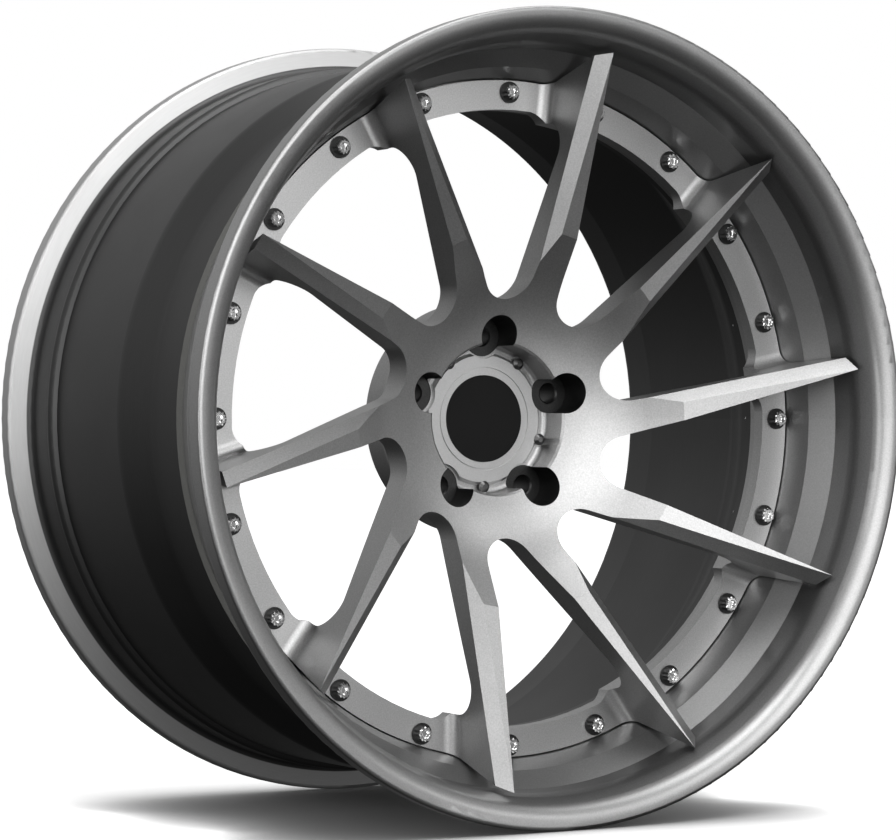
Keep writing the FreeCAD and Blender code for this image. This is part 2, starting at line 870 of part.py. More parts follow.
# Centre cap
def make_centre_cap():
    """Turn the cap with its badge recess and seal groove, then scallop its edge for the lugs."""
    back = dim("pocket_depth")
    front = back - dim("cap_thickness")
    groove = dim("cap_groove_radius")
    groove_back = front + dim("cap_groove_depth")
    badge = dim("badge_radius") + dim("badge_clearance")
    seal_inner = dim("o_ring_radius") - dim("o_ring_section") - dim("o_ring_clearance")
    seal_outer = dim("o_ring_radius") + dim("o_ring_section") + dim("o_ring_clearance")
    seal_floor = back - dim("o_ring_section") * 2
    body = turned_body("centre_cap", [
        (0, front + dim("badge_recess")),
        (badge, front + dim("badge_recess")),
        (badge, front),
        (groove, front),
        (groove, groove_back),
        (groove + dim("cap_groove_width"), groove_back),
        (groove + dim("cap_groove_width"), front),
        (dim("cap_radius") - dim("cap_edge"), front),
        (dim("cap_radius"), front + dim("cap_edge")),
        (dim("cap_radius"), back),
        (seal_outer, back),
        (seal_outer, seal_floor),
        (seal_inner, seal_floor),
        (seal_inner, back),
        (dim("cap_back_radius"), back),
        (dim("cap_back_radius"), back - dim("cap_back_recess")),
        (0, back - dim("cap_back_recess")),
    ])
    cuts = (
        ("cap_scallop", dim("stud_angle"), dim("stud_circle") / 2, dim("cap_scallop_radius")),
        ("cap_notch", screw_angle(), dim("screw_circle_radius"),
         dim("screw_shank_radius") + dim("screw_clearance")),
    )
    for name, angle, radius, size in cuts:
        sketch = plan_sketch(body, name, 0)
        circle(sketch, radius * cosine(angle), radius * sine(angle), size)
        hole = drilled(body, sketch, name + "_cut")
        doc.recompute()
        ring_of(body, [hole], name + "_ring", dim("stud_count"))
        doc.recompute()
    return body


def make_cap_o_ring():
    """Make the seal ring in the groove behind the cap."""
    ring = doc.addObject("Part::Torus", "cap_o_ring")
    bind(ring, "Radius1", dim("o_ring_radius"))
    bind(ring, "Radius2", dim("o_ring_section"))
    bind(ring, "Placement.Base.y", dim("pocket_depth") - dim("o_ring_section"))
    ring.Placement.Rotation = FreeCAD.Rotation(FreeCAD.Vector(1, 0, 0), 90)
    return ring


def make_cap_badge():
    """Make the plain disc that sits in the cap's recess."""
    floor = dim("pocket_depth") - dim("cap_thickness") + dim("badge_recess")
    body = new_body("cap_badge")
    sketch = plan_sketch(body, "badge_outline", floor)
    circle(sketch, 0, 0, dim("badge_radius"))
    padded(body, sketch, "badge_pad", dim("badge_thickness"))
    return body


def make_cap_screws():
    """Make the five button-head screws that hold the cap's edge."""
    seat = dim("pocket_depth") - dim("cap_thickness")
    top = seat - dim("screw_head_height")
    head = dim("screw_head_radius")
    end = dim("pocket_depth") + dim("screw_length")
    return off_axis_ring("cap_screws", [
        (0, top),
        (dim("screw_top_radius"), top),
        (head, seat - dim("screw_head_side")),
        (head, seat),
        (dim("screw_shank_radius"), seat),
        (dim("screw_shank_radius"), end),
        (0, end),
    ], screw_angle(), dim("screw_circle_radius"), dim("stud_count"))


# Tyre valve
def valve_seat():
    """Radius of the barrel's outer face at the valve, where the stem's head sits."""
    return well_radius()


def valve_inside():
    """Radius of the barrel's inner face at the valve, where the nut pulls."""
    return well_radius() - dim("rim_wall") - dim("valve_seat_relief")


def valve_piece(name, corners):
    """Turn one valve piece about the valve's radial axis.

    The corners hold the wheel radius and the distance from the valve's own axis.
    """
    body = new_body(name)
    sketch = section_sketch(body, name + "_section", dim("valve_angle"))
    depth = dim("valve_depth")
    outline(sketch, [(radius, depth + reach) for radius, reach in corners])
    start = FreeCAD.Vector(0, depth.value, 0)
    axis = sketch.addGeometry(Part.LineSegment(start, start + FreeCAD.Vector(FAR, 0, 0)), True)
    fix_point(sketch, axis, 1, 0, depth)
    fix_point(sketch, axis, 2, FAR, depth)
    turned(body, "Revolution", sketch, name + "_turned", "Axis0")
    return body


def make_valve():
    """Make the six pieces of the clamp-in tyre valve."""
    seat = valve_seat()
    inside = valve_inside()
    head = dim("valve_head_radius")
    thread = dim("valve_thread_radius")
    bore = dim("valve_core_radius")
    grommet_top = seat + dim("valve_grommet_height")
    washer_end = inside - dim("valve_washer_height")
    nut_end = washer_end - dim("valve_nut_height")
    stem_end = inside - dim("valve_length")
    stem = valve_piece("valve_stem", [
        (grommet_top + dim("valve_head_height"), bore),
        (grommet_top + dim("valve_head_height"), head),
        (grommet_top, head),
        (grommet_top, thread),
        (stem_end, thread),
        (stem_end, bore),
    ])
    grommet = valve_piece("valve_grommet", [
        (grommet_top, thread),
        (grommet_top, head),
        (seat, head),
        (seat, thread),
    ])
    washer = valve_piece("valve_washer", [
        (inside, thread),
        (inside, head),
        (washer_end, head),
        (washer_end, thread),
    ])
    nut = valve_piece("valve_nut", [
        (washer_end, thread),
        (washer_end, dim("valve_nut_flats") / 2),
        (nut_end, dim("valve_nut_flats") / 2),
        (nut_end, thread),
    ])
    core = valve_piece("valve_core", [
        (stem_end + dim("valve_core_length"), 0),
        (stem_end + dim("valve_core_length"), bore),
        (stem_end, bore),
        (stem_end, 0),
    ])
    cap_end = stem_end - dim("valve_cap_wall") * 2
    cap_start = cap_end + dim("valve_cap_length")
    cap = valve_piece("valve_cap", [
        (cap_start, thread),
        (cap_start, thread + dim("valve_cap_wall")),
        (cap_end, thread + dim("valve_cap_wall")),
        (cap_end, 0),
        (stem_end, 0),
        (stem_end, thread),
    ])
    return [stem, grommet, washer, nut, core, cap]


def check(thing):
    """Stop the build where an object reports an error or its shape is unsound."""
    if "Invalid" in thing.State or "Error" in thing.State:
        raise RuntimeError("%s: %s" % (thing.Label, thing.State))
    shape = getattr(thing, "Shape", None)
    if shape is not None and not shape.isNull() and not shape.isValid():
        raise RuntimeError("%s: shape is not valid" % thing.Label)


def main():
    """Build every piece, check the document and write one file a piece."""
    make_sheet()
    pieces = [
        make_face_disc(),
        make_outer_lip(),
        make_inner_barrel(),
        make_rim_seal(),
        make_assembly_bolts(),
        make_washers("bolt_washers", dim("ring_depth") - dim("washer_thickness")),
        make_washers("nut_washers", joint_back()),
        make_assembly_nuts(),
        make_centre_cap(),
        make_cap_badge(),
        make_cap_o_ring(),
        make_cap_screws(),
    ] + make_valve()
    doc.recompute()
    for thing in doc.Objects:
        check(thing)
    os.makedirs("parts", exist_ok=True)
    for piece in pieces:
        piece.Shape.exportStep("parts/%s.step" % piece.Label)
        print(piece.Label, len(piece.Shape.Solids), "solids", round(piece.Shape.Volume), "mm3")


main()
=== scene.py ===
"""Studio scene of a three-piece forged wheel: finishes, bolt heads, floor, light and camera."""
from __future__ import annotations

import logging
import math
from dataclasses import dataclass
from enum import Enum

import bmesh
import bpy
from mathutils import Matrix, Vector

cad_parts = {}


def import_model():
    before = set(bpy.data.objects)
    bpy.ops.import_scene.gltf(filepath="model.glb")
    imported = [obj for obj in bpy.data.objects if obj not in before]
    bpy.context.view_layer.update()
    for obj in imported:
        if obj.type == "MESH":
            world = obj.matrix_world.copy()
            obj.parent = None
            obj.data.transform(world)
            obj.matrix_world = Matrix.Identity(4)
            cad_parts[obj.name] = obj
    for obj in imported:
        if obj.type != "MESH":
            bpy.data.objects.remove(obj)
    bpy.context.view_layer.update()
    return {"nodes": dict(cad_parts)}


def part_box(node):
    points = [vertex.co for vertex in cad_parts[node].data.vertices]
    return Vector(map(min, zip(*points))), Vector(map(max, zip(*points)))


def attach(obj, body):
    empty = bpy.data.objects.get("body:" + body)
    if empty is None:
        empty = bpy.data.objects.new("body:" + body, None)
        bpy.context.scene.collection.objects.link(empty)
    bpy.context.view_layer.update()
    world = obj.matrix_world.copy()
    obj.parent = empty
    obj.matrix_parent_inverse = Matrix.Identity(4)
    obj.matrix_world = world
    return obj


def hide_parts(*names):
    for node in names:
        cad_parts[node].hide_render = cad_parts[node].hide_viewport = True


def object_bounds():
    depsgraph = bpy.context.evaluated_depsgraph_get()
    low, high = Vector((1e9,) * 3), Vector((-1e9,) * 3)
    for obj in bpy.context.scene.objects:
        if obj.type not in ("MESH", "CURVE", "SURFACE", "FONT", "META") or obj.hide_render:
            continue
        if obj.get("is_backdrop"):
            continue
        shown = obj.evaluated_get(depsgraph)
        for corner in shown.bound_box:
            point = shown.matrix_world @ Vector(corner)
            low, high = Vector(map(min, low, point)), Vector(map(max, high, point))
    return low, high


LOG = logging.getLogger("forged_wheel")
BODY = "root"

# Photo frame and fitted camera, in pixels and metres
PHOTO_WIDTH_PX = 896
FOCAL_PX = 3450.3
SENSOR_WIDTH_MM = 36.0
CAMERA_PLACE = Vector((-1.2146, -2.0804, -0.0009))
CAMERA_HEADING = Vector((0.5, 0.866, 0.0))


class Grain(Enum):
    """How a surface was worked, which sets the pattern of its fine relief."""

    BLASTED = "blasted"
    TURNED = "turned"


@dataclass(frozen=True)
class BareRim:
    """A second tone beyond a radius from the wheel's axis.

    Attributes:
        tone: Linear base colour there.
        radius: Radius where it starts, in metres.
        fade: Width over which the tones change.
    """

    tone: tuple[float, float, float]
    radius: float
    fade: float = 0.0006


@dataclass(frozen=True)
class PaintedShadeSockets:
    """Painted shade: a darker tone inside holes on a circle around the wheel's axis, where the deep
    holes fall into shade.

    Attributes:
        tone: Linear base colour there.
        circle_radius: Radius of the circle of holes, in metres.
        radius: Radius of each hole.
        count: Holes on the circle.
        first_turn: Angle of one hole, in radians.
    """

    tone: tuple[float, float, float]
    circle_radius: float
    radius: float
    count: int
    first_turn: float


@dataclass(frozen=True)
class PaintedShadeBand:
    """Painted shade: a darker tone on the inner wall between a turned step and a rolled edge, standing
    in for the dark reflection there.

    Attributes:
        tone: Linear base colour there.
        step_depth: Depth of the step, in metres.
        roll_depth: Depth where the band has faded out on the rolled edge.
        fade: Depth over which it fades there.
        radius: Radius that the band stays within.
        step_fade: Depth over which the tones change at the step.
    """

    tone: tuple[float, float, float]
    step_depth: float
    roll_depth: float
    fade: float
    radius: float
    step_fade: float = 0.0006


Zone = BareRim | PaintedShadeSockets | PaintedShadeBand


@dataclass(frozen=True)
class Finish:
    """One surface finish.

    Attributes:
        name: Name of the material.
        tone: Linear base colour.
        metallic: Share of metallic reflection.
        roughness: Mean roughness.
        grain: Pattern of the fine relief.
        relief: Strength of the fine relief.
        fleck: Share by which the fine grain changes the tone.
        coat: Weight of a clear coat.
        coat_roughness: Roughness of the clear coat.
        gloss: Strength of the plain reflection of what isn't metal.
        zone: Where a second tone takes over, if anywhere.
    """

    name: str
    tone: tuple[float, float, float]
    metallic: float
    roughness: float
    grain: Grain = Grain.BLASTED
    relief: float = 0.08
    fleck: float = 0.10
    coat: float = 0.0
    coat_roughness: float = 0.1
    gloss: float = 0.5
    zone: Zone | None = None


def grey(value: float) -> tuple[float, float, float]:
    """Return a neutral tone.

    Args:
        value: Linear brightness.

    Returns:
        The tone as red, green and blue.
    """
    return (value, value, value)


# Painted shade: a darker tone inside the lug holes.
LUG_SOCKET_SHADE = PaintedShadeSockets(
    tone=grey(0.06), circle_radius=0.05715, radius=0.01404, count=5, first_turn=math.pi / 2
)
# Painted shade: a darker tone on the lip's inner wall, standing in for its dark reflection.
LIP_WALL_SHADE = PaintedShadeBand(
    tone=grey(0.22), step_depth=-0.0952, roll_depth=-0.1330, fade=0.0160, radius=0.2575
)
BARREL_FLANGE = BareRim(tone=grey(0.62), radius=0.2600)

FACE = Finish("face_satin", grey(0.48), 1.0, 0.40, relief=0.14, fleck=0.55, zone=LUG_SOCKET_SHADE)
LIP = Finish(
    "lip_satin",
    grey(0.44),
    1.0,
    0.40,
    relief=0.10,
    fleck=0.40,
    coat=0.25,
    coat_roughness=0.10,
    zone=LIP_WALL_SHADE,
)
BARREL = Finish(
    "barrel_matte",
    grey(0.10),
    1.0,
    0.46,
    grain=Grain.TURNED,
    relief=0.04,
    fleck=0.12,
    zone=BARREL_FLANGE,
)
CHROME = Finish("bolt_chrome", grey(0.90), 1.0, 0.08, fleck=0.04, relief=0.02)
BLACK = Finish("washer_black", grey(0.012), 0.3, 0.35)
ZINC = Finish("zinc_plate", (0.52, 0.52, 0.53), 1.0, 0.32)
SCREW = Finish("screw_dark", grey(0.16), 1.0, 0.30)
CAP = Finish("cap_blasted", grey(0.58), 1.0, 0.46, relief=0.22, fleck=0.20)
BADGE = Finish("badge_satin", grey(0.010), 0.0, 0.45, relief=0.01, gloss=0.15)
RUBBER = Finish("black_rubber", grey(0.018), 0.0, 0.62, relief=0.20)
SEALANT = Finish("sealant", (0.20, 0.20, 0.19), 0.0, 0.55, relief=0.15)
NICKEL = Finish("valve_nickel", (0.56, 0.55, 0.52), 1.0, 0.24)
BRASS = Finish("core_brass", (0.62, 0.45, 0.19), 1.0, 0.28)
PLASTIC = Finish("valve_plastic", grey(0.02), 0.0, 0.42, relief=0.10)

NODE_FINISH: dict[str, Finish] = {
    "face_disc": FACE,
    "outer_lip": LIP,
    "inner_barrel": BARREL,
    "rim_seal": SEALANT,
    "assembly_bolts": CHROME,
    "bolt_washers": BLACK,
    "nut_washers": ZINC,
    "assembly_nuts": ZINC,
    "centre_cap": CAP,
    "cap_badge": BADGE,
    "cap_o_ring": RUBBER,
    "cap_screws": SCREW,
    "valve_stem": NICKEL,
    "valve_grommet": RUBBER,
    "valve_washer": ZINC,
    "valve_nut": NICKEL,
    "valve_core": BRASS,
    "valve_cap": PLASTIC,
}

WHITE = (1.0, 1.0, 1.0, 1.0)
SocketOrNumber = bpy.types.NodeSocket | float


def add_math(
    tree: bpy.types.NodeTree, operation: str, *values: SocketOrNumber
) -> bpy.types.NodeSocket:
    """Add a math node.

    Args:
        tree: Tree to add to.
        operation: Name of the operation.
        values: Its inputs, each a socket or a number.

    Returns:
        The result's socket.
    """
    node = tree.nodes.new("ShaderNodeMath")
    node.operation = operation
    for socket, value in zip(node.inputs, values):
        if isinstance(value, bpy.types.NodeSocket):
            tree.links.new(value, socket)
        else:
            socket.default_value = value
    return node.outputs[0]


def add_ramp(
    tree: bpy.types.NodeTree,
    value: bpy.types.NodeSocket,
    start: float,
    end: float,
    lowest: float = 0.0,
) -> bpy.types.NodeSocket:
    """Add a ramp that rises between two values and ends at one.

    Args:
        tree: Tree to add to.
        value: What the ramp follows.
        start: Where it starts to rise.
        end: Where it is full.
        lowest: What it is before the start.

    Returns:
        The ramp's socket.
    """
    node = tree.nodes.new("ShaderNodeMapRange")
    node.inputs["From Min"].default_value = start
    node.inputs["From Max"].default_value = end
    node.inputs["To Min"].default_value = lowest
    tree.links.new(value, node.inputs["Value"])
    return node.outputs["Result"]


class FinishLibrary:
    """Makes each finish once and shares the groups that give surfaces their fine grain.

    Attributes:
        BLAST_SCALE: Scale of a blasted grain.
        TURN_SCALE: Scale of a turned grain across its lines.
        TURN_STRETCH: Share of that scale along the lines.
        GRAIN_DETAIL: Octaves of the fine grain.
        BLOTCH_SCALE: Scale of the soft patches of roughness.
        NOISE_MIDDLE: Middle of what a noise gives.
        ROUGHNESS_SPREAD: Most that a patch adds to the roughness or takes from it.
        RELIEF_DEPTH: Depth of the fine relief, in metres.
    """

    BLAST_SCALE = 1000.0
    TURN_SCALE = 900.0
    TURN_STRETCH = 0.02
    GRAIN_DETAIL = 2.0
    BLOTCH_SCALE = 14.0
    NOISE_MIDDLE = 0.5
    ROUGHNESS_SPREAD = 0.06
    RELIEF_DEPTH = 0.0002

    def __init__(self) -> None:
        self._made: dict[str, bpy.types.Material] = {}
        self._axis = self._axis_group()
        self._groups = {grain: self._grain_group(grain) for grain in Grain}

    @staticmethod
    def _axis_group() -> bpy.types.NodeTree:
        """Make a group that gives the radius, depth and angle around the wheel's axis.

        Returns:
            The node group.
        """
        tree = bpy.data.node_groups.new("AroundAxis", "ShaderNodeTree")
        place = tree.nodes.new("ShaderNodeTexCoord")
        split = tree.nodes.new("ShaderNodeSeparateXYZ")
        tree.links.new(place.outputs["Object"], split.inputs[0])
        across = add_math(tree, "MULTIPLY", split.outputs["X"], split.outputs["X"])
        square = add_math(tree, "MULTIPLY_ADD", split.outputs["Z"], split.outputs["Z"], across)
        results = {
            "Radius": add_math(tree, "SQRT", square),
            "Depth": split.outputs["Y"],
            "Angle": add_math(tree, "ARCTAN2", split.outputs["Z"], split.outputs["X"]),
        }
        for name in results:
            tree.interface.new_socket(name, in_out="OUTPUT", socket_type="NodeSocketFloat")
        out = tree.nodes.new("NodeGroupOutput")
        for name, socket in results.items():
            tree.links.new(socket, out.inputs[name])
        return tree

    def _around(self, tree: bpy.types.NodeTree) -> bpy.types.Node:
        """Add the group that measures around the wheel's axis.

        Args:
            tree: Tree to add to.

        Returns:
            The group's node.
        """
        node = tree.nodes.new("ShaderNodeGroup")
        node.node_tree = self._axis
        return node

    def _grain_group(self, grain: Grain) -> bpy.types.NodeTree:
        """Make a group that gives the height, gain and roughness of a grain.

        Args:
            grain: How the surface was worked.

        Returns:
            The node group.
        """
        tree = bpy.data.node_groups.new("Grain_" + grain.value, "ShaderNodeTree")
        noise = tree.nodes.new("ShaderNodeTexNoise")
        noise.inputs["Detail"].default_value = self.GRAIN_DETAIL
        place = tree.nodes.new("ShaderNodeTexCoord")
        if grain is Grain.TURNED:
            noise.inputs["Scale"].default_value = self.TURN_SCALE
            around = self._around(tree)
            path = tree.nodes.new("ShaderNodeCombineXYZ")
            tree.links.new(around.outputs["Radius"], path.inputs["X"])
            tree.links.new(around.outputs["Depth"], path.inputs["Y"])
            slow = add_math(tree, "MULTIPLY", around.outputs["Angle"], self.TURN_STRETCH)
            tree.links.new(slow, path.inputs["Z"])
            tree.links.new(path.outputs[0], noise.inputs["Vector"])
        else:
            noise.inputs["Scale"].default_value = self.BLAST_SCALE
            tree.links.new(place.outputs["Object"], noise.inputs["Vector"])
        blotch = tree.nodes.new("ShaderNodeTexNoise")
        blotch.inputs["Scale"].default_value = self.BLOTCH_SCALE
        tree.links.new(place.outputs["Object"], blotch.inputs["Vector"])
        for name in ("Roughness", "Fleck"):
            tree.interface.new_socket(name, in_out="INPUT", socket_type="NodeSocketFloat")
        given = tree.nodes.new("NodeGroupInput")
        patch = add_math(tree, "SUBTRACT", blotch.outputs["Fac"], self.NOISE_MIDDLE)
        fleck = add_math(tree, "SUBTRACT", noise.outputs["Fac"], self.NOISE_MIDDLE)
        spread = self.ROUGHNESS_SPREAD / self.NOISE_MIDDLE
        worked = add_math(tree, "MULTIPLY_ADD", patch, spread, given.outputs["Roughness"])
        results = {
            "Height": noise.outputs["Fac"],
            "Gain": add_math(tree, "MULTIPLY_ADD", fleck, given.outputs["Fleck"], 1.0),
            "Worked Roughness": worked,
        }
        for name in results:
            tree.interface.new_socket(name, in_out="OUTPUT", socket_type="NodeSocketFloat")
        out = tree.nodes.new("NodeGroupOutput")
        for name, socket in results.items():
            tree.links.new(socket, out.inputs[name])
        return tree

    def get(self, finish: Finish) -> bpy.types.Material:
        """Return the material of a finish, made on first use.

        Args:
            finish: The finish to make.

        Returns:
            Its material.
        """
        if finish.name not in self._made:
            self._made[finish.name] = self._make(finish)
        return self._made[finish.name]

    def _make(self, finish: Finish) -> bpy.types.Material:
        """Make the material of a finish.

        Args:
            finish: The finish to make.

        Returns:
            A new material.
        """
        material = bpy.data.materials.new(finish.name)
        material.use_nodes = True
        tree = material.node_tree
        shader = tree.nodes["Principled BSDF"]
        shader.inputs["Metallic"].default_value = finish.metallic
        shader.inputs["Specular IOR Level"].default_value = finish.gloss
        shader.inputs["Coat Weight"].default_value = finish.coat
        shader.inputs["Coat Roughness"].default_value = finish.coat_roughness
        grain = tree.nodes.new("ShaderNodeGroup")
        grain.node_tree = self._groups[finish.grain]
        grain.inputs["Roughness"].default_value = finish.roughness
        grain.inputs["Fleck"].default_value = finish.fleck
        tree.links.new(grain.outputs["Worked Roughness"], shader.inputs["Roughness"])
        bump = tree.nodes.new("ShaderNodeBump")
        bump.inputs["Strength"].default_value = finish.relief
        bump.inputs["Distance"].default_value = self.RELIEF_DEPTH
        tree.links.new(grain.outputs["Height"], bump.inputs["Height"])
        tree.links.new(bump.outputs["Normal"], shader.inputs["Normal"])
        tree.links.new(self._tone(tree, finish, grain.outputs["Gain"]), shader.inputs["Base Color"])
        return material

    def _tone(
        self, tree: bpy.types.NodeTree, finish: Finish, gain: bpy.types.NodeSocket
    ) -> bpy.types.NodeSocket:
        """Add the base colour with its flecks, and its second tone where it has one.

        Args:
            tree: Tree to add to.
            finish: The finish.
            gain: Fine change of brightness.

        Returns:
            The colour's socket.
        """
        scaled = tree.nodes.new("ShaderNodeVectorMath")
        scaled.operation = "SCALE"
        tree.links.new(gain, scaled.inputs["Scale"])
        if finish.zone is None:
            scaled.inputs["Vector"].default_value = finish.tone
            return scaled.outputs["Vector"]
        mix = tree.nodes.new("ShaderNodeMix")
        mix.data_type = "VECTOR"
        factor, first, second = (socket for socket in mix.inputs if socket.enabled)
        first.default_value = finish.tone
        second.default_value = finish.zone.tone
        tree.links.new(self._inside(tree, finish.zone), factor)
        result = next(socket for socket in mix.outputs if socket.enabled)
        tree.links.new(result, scaled.inputs["Vector"])
        return scaled.outputs["Vector"]

    def _inside(self, tree: bpy.types.NodeTree, zone: Zone) -> bpy.types.NodeSocket:
        """Add the mask of a second tone.

        Args:
            tree: Tree to add to.
            zone: Where that tone is.

        Returns:
            A socket that is one inside the zone.
        """
        around = self._around(tree)
        radius = around.outputs["Radius"]
        if isinstance(zone, BareRim):
            return add_ramp(tree, radius, zone.radius, zone.radius + zone.fade)
        # Painted shade on the lip's inner wall, between the step and the rolled edge.
        if isinstance(zone, PaintedShadeBand):
            depth = around.outputs["Depth"]
            before = add_ramp(tree, depth, zone.step_depth, zone.step_depth - zone.step_fade)
            after = add_ramp(tree, depth, zone.roll_depth, zone.roll_depth + zone.fade)
            within = add_math(tree, "LESS_THAN", radius, zone.radius)
            return add_math(tree, "MULTIPLY", within, add_math(tree, "MULTIPLY", before, after))
        # Painted shade inside each lug hole on the circle.
        half_pitch = math.pi / zone.count
        turn = add_math(tree, "SUBTRACT", around.outputs["Angle"], zone.first_turn)
        turn = add_math(tree, "WRAP", turn, half_pitch, -half_pitch)
        along = add_math(tree, "MULTIPLY", radius, add_math(tree, "COSINE", turn))
        along = add_math(tree, "SUBTRACT", along, zone.circle_radius)
        across = add_math(tree, "MULTIPLY", radius, add_math(tree, "SINE", turn))
        square = add_math(tree, "MULTIPLY", across, across)
        square = add_math(tree, "MULTIPLY_ADD", along, along, square)
        return add_math(tree, "LESS_THAN", square, zone.radius * zone.radius)


@dataclass(frozen=True)
class BoltShape:
    """Sizes of one assembly bolt with a twelve-point head, in metres.

    Attributes:
        circle_radius: Radius of the bolt circle.
        count: Bolts on the circle.
        points: Points on a head.
        head_radius: Radius over the points.
        root_radius: Radius between the points.
        shank_radius: Radius of the shank.
        dish_radius: Radius of the dish in the head's top.
        dish_depth: Depth of that dish.
        dish_floor: Share of the dish's radius that is left at its floor.
        dish_bevel: Bevel of the dish's edge.
        chamfer: Chamfer of the head's top edge.
    """

    circle_radius: float = 0.2229
    count: int = 20
    points: int = 12
    head_radius: float = 0.0052
    root_radius: float = 0.0045
    shank_radius: float = 0.0035
    dish_radius: float = 0.0026
    dish_depth: float = 0.0022
    dish_floor: float = 0.7
    dish_bevel: float = 0.0003
    chamfer: float = 0.0008


class BoltRing:
    """The ring of assembly bolts: one modelled bolt, repeated by Geometry Nodes."""

    def __init__(self, shape: BoltShape, node: str) -> None:
        self.shape = shape
        self.node = node

    def build(self, material: bpy.types.Material) -> bpy.types.Object:
        """Build the ring where the CAD bolts are.

        Args:
            material: Finish of the bolts.

        Returns:
            The ring's object.
        """
        low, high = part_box(self.node)
        ring = bpy.data.objects.new("twelve_point_bolts", self._bolt_mesh(low[1], high[1]))
        bpy.context.scene.collection.objects.link(ring)
        modifier = ring.modifiers.new("bolt_circle", "NODES")
        modifier.node_group = self._ring_group()
        values = {
            "Count": self.shape.count,
            "Circle Radius": self.shape.circle_radius,
            "Finish": material,
        }
        for item in modifier.node_group.interface.items_tree:
            if item.name in values:
                modifier[item.identifier] = values[item.name]
        evaluated = ring.evaluated_get(bpy.context.evaluated_depsgraph_get())
        plain = bpy.data.meshes.new_from_object(evaluated)
        ring.modifiers.clear()
        ring.data = plain
        LOG.info("%s: %d bolts in %s", ring.name, self.shape.count, material.name)
        return ring

    def _bolt_mesh(self, front: float, end: float) -> bpy.types.Mesh:
        """Make one bolt along Y.

        Args:
            front: Depth of the head's top.
            end: Depth of the shank's end.

        Returns:
            A closed mesh.
        """
        shape = self.shape
        washer_low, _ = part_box("bolt_washers")
        seat = washer_low[1]
        steps = shape.points * 2
        floor_radius = shape.dish_radius * shape.dish_floor
        brim_radius = shape.dish_radius + shape.dish_bevel
        top_radius = shape.head_radius - shape.chamfer
        top_root = shape.root_radius - shape.chamfer
        # Radius of the points, radius between them and depth, from the dish's floor to the shank's end
        profile = (
            (floor_radius, floor_radius, front + shape.dish_depth),
            (shape.dish_radius, shape.dish_radius, front + shape.dish_bevel),
            (brim_radius, brim_radius, front),
            (top_radius, top_root, front),
            (shape.head_radius, shape.root_radius, front + shape.chamfer),
            (shape.head_radius, shape.root_radius, seat),
            (shape.shank_radius, shape.shank_radius, seat),
            (shape.shank_radius, shape.shank_radius, end),
        )
        build = bmesh.new()
        rings = [
            [build.verts.new(point) for point in self._loop(steps, outer, inner, depth)]
            for outer, inner, depth in profile
        ]
        for near, far in zip(rings, rings[1:]):
            for i in range(steps):
                build.faces.new((near[i], near[(i + 1) % steps], far[(i + 1) % steps], far[i]))
        build.faces.new(rings[0])
        build.faces.new(rings[-1])
        bmesh.ops.recalc_face_normals(build, faces=build.faces)
        mesh = bpy.data.meshes.new("twelve_point_bolt")
        build.to_mesh(mesh)
        build.free()
        return mesh

    @staticmethod
    def _loop(steps: int, outer: float, inner: float, depth: float) -> list[Vector]:
        """Return a ring of points that alternates between two radii.

        Args:
            steps: Number of points.
            outer: Radius of the even points.
            inner: Radius of the odd points.
            depth: Place along Y.

        Returns:
            The points.
        """
        points = []
        for i in range(steps):
            radius = inner if i % 2 else outer
            turn = math.tau * i / steps
            points.append(Vector((radius * math.cos(turn), depth, radius * math.sin(turn))))
        return points

    @staticmethod
    def _ring_group() -> bpy.types.NodeTree:
        """Make the group that repeats its geometry around the wheel's axis.

        Returns:
            The node group.
        """
        tree = bpy.data.node_groups.new("RepeatAroundAxis", "GeometryNodeTree")
        tree.interface.new_socket("Bolt", in_out="INPUT", socket_type="NodeSocketGeometry")
        tree.interface.new_socket("Count", in_out="INPUT", socket_type="NodeSocketInt")
        tree.interface.new_socket("Circle Radius", in_out="INPUT", socket_type="NodeSocketFloat")
        tree.interface.new_socket("Finish", in_out="INPUT", socket_type="NodeSocketMaterial")
        tree.interface.new_socket("Ring", in_out="OUTPUT", socket_type="NodeSocketGeometry")
        source = tree.nodes.new("NodeGroupInput")
        out = tree.nodes.new("NodeGroupOutput")
        circle = tree.nodes.new("GeometryNodeMeshCircle")
        tree.links.new(source.outputs["Count"], circle.inputs["Vertices"])
        tree.links.new(source.outputs["Circle Radius"], circle.inputs["Radius"])
        upright = tree.nodes.new("GeometryNodeTransform")
        upright.inputs["Rotation"].default_value = (math.pi / 2, 0.0, 0.0)
        repeat = tree.nodes.new("GeometryNodeInstanceOnPoints")
        real = tree.nodes.new("GeometryNodeRealizeInstances")
        dress = tree.nodes.new("GeometryNodeSetMaterial")
        tree.links.new(circle.outputs["Mesh"], upright.inputs["Geometry"])
        tree.links.new(upright.outputs["Geometry"], repeat.inputs["Points"])
        tree.links.new(source.outputs["Bolt"], repeat.inputs["Instance"])
        tree.links.new(repeat.outputs["Instances"], real.inputs["Geometry"])
        tree.links.new(real.outputs["Geometry"], dress.inputs["Geometry"])
        tree.links.new(source.outputs["Finish"], dress.inputs["Material"])
        tree.links.new(dress.outputs["Geometry"], out.inputs["Ring"])
        return tree


@dataclass(frozen=True)
class AreaLight:
    """One soft studio light that looks at the wheel's origin.

    Attributes:
        name: Name of the light.
        place: Position in metres.
        width: Width of the light.
        height: Height of the light.
        power: Power in watts.
        on_matte: Whether it lights the floor and other matte surfaces, or only shines in gloss.
    """

    name: str
    place: tuple[float, float, float]
    width: float
    height: float
    power: float
    on_matte: bool


